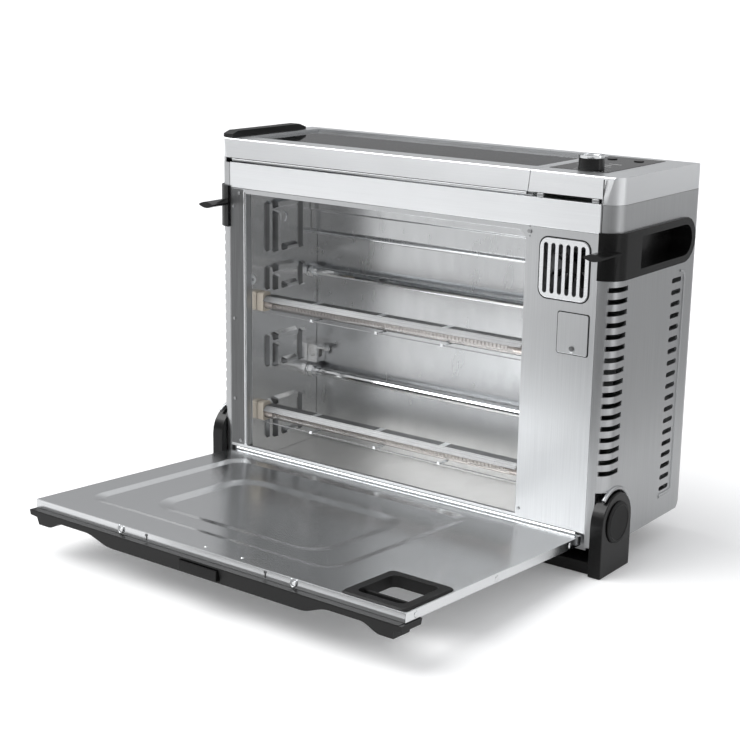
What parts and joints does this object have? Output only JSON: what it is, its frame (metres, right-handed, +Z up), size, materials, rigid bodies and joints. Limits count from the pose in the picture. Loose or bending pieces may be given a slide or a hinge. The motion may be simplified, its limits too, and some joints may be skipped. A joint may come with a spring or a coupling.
{
  "type": "countertop oven",
  "caption": "Flip-up countertop oven standing on its back, its underside cleaning door let down, with a glass face door, control panel and pivoting feet.",
  "frame": {"origin": "on the counter, at the middle of the width, in the plane of the oven's underside sheet, on the bottom face of the rest base", "axes": "+X to the oven's right as seen from its underside, +Y from the underside to the top cover, +Z up from the counter to the glass door's face"},
  "size_m": [0.5142, 0.4893, 0.4081],
  "materials": {
    "brushed_steel": "fine horizontal brushing",
    "satin_steel": "darker satin sheet",
    "bright_sheet": "bright aluminised sheet",
    "chrome_rod": "polished",
    "black_plastic": "fine matte grain",
    "gloss_black": "gloss black",
    "door_glass": "tinted glass",
    "quartz": "frosted quartz",
    "ceramic": "unglazed ceramic",
    "circuit_board": "solder mask"
  },
  "bodies": {
    "feet": {"foot_right": "black_plastic", "foot_left": "black_plastic", "foot_pivot_right": "black_plastic", "foot_pivot_left": "black_plastic"},
    "housing": {"side_panel_right": "satin_steel", "side_panel_left": "satin_steel", "top_cover": "satin_steel", "rear_panel": "satin_steel", "base_frame": "brushed_steel", "lower_rail": "brushed_steel", "face_hinge_rod": "chrome_rod", "mouth_flange": "bright_sheet", "cavity_left": "bright_sheet", "cavity_right": "bright_sheet", "cavity_back": "bright_sheet", "cavity_floor": "bright_sheet", "tube_end_1_left": "ceramic", "tube_end_1_right": "ceramic", "quartz_tube_1": "quartz", "tube_guard_1": "bright_sheet", "tube_end_2_left": "ceramic", "tube_end_2_right": "ceramic", "quartz_tube_2": "quartz", "tube_guard_2": "bright_sheet", "rod_fitting_1": "chrome_rod", "heater_rod_1": "chrome_rod", "rod_fitting_2": "chrome_rod", "heater_rod_2": "chrome_rod", "trim_rod": "chrome_rod", "sensor_bracket": "bright_sheet", "intake_grille": "brushed_steel", "access_cover": "brushed_steel", "side_handle_right": "black_plastic", "side_handle_left": "black_plastic", "pivot_bracket_right": "satin_steel", "pivot_bracket_left": "satin_steel", "rest_base": "black_plastic", "cord_gland": "black_plastic", "control_bezel": "brushed_steel", "control_glass": "gloss_black", "control_board": "circuit_board", "under_hinge_rod": "satin_steel", "cooling_motor": "satin_steel", "oven_fan_motor": "satin_steel"},
    "underside_door_body": {"underside_door": "bright_sheet", "duct_ring": "gloss_black", "front_bar": "black_plastic"},
    "latch": {"latch_button": "gloss_black"},
    "glass_door": {"face_door_frame": "brushed_steel", "face_door_glass": "door_glass", "door_grip": "black_plastic"},
    "dial_body": {"dial": "black_plastic"},
    "power_button_body": {"power_button": "gloss_black"},
    "light_button_body": {"light_button": "gloss_black"},
    "cooling_fan_body": {"cooling_fan": "black_plastic"},
    "oven_fan_body": {"oven_fan": "bright_sheet"}
  },
  "joints": [
    {"name": "flip_hinge", "type": "hinge", "parent": "feet", "child": "housing", "pos_m": [0, 0.0233, 0.05235], "axis": [1, 0, 0], "range_deg": [0, 90]},
    {"name": "underside_door_hinge", "type": "hinge", "parent": "housing", "child": "underside_door_body", "pos_m": [0, -0.0011, 0.03984], "axis": [-1, 0, 0], "range_deg": [0, 86.4]},
    {"name": "glass_door_hinge", "type": "hinge", "parent": "housing", "child": "glass_door", "pos_m": [0, 0.002, 0.3706], "axis": [1, 0, 0], "range_deg": [0, 88]},
    {"name": "latch_press", "type": "slide", "parent": "underside_door_body", "child": "latch", "axis": [0, 0.998, -0.0628], "range_m": [0, 0.003], "stiffness_N_per_m": 400},
    {"name": "dial_turn", "type": "hinge", "parent": "housing", "child": "dial_body", "pos_m": [0.1972, 0.04, 0.3931], "axis": [0, 0, 1], "continuous": true},
    {"name": "power_button_press", "type": "slide", "parent": "housing", "child": "power_button_body", "axis": [0, 0, -1], "range_m": [0, 0.0008], "stiffness_N_per_m": 800},
    {"name": "light_button_press", "type": "slide", "parent": "housing", "child": "light_button_body", "axis": [0, 0, -1], "range_m": [0, 0.0008], "stiffness_N_per_m": 800},
    {"name": "cooling_fan_spin", "type": "hinge", "parent": "housing", "child": "cooling_fan_body", "pos_m": [0.1955, 0.018, 0.3012], "axis": [0, 1, 0], "continuous": true},
    {"name": "oven_fan_spin", "type": "hinge", "parent": "housing", "child": "oven_fan_body", "pos_m": [0.1635, 0.062, 0.19], "axis": [1, 0, 0], "continuous": true}
  ]
}
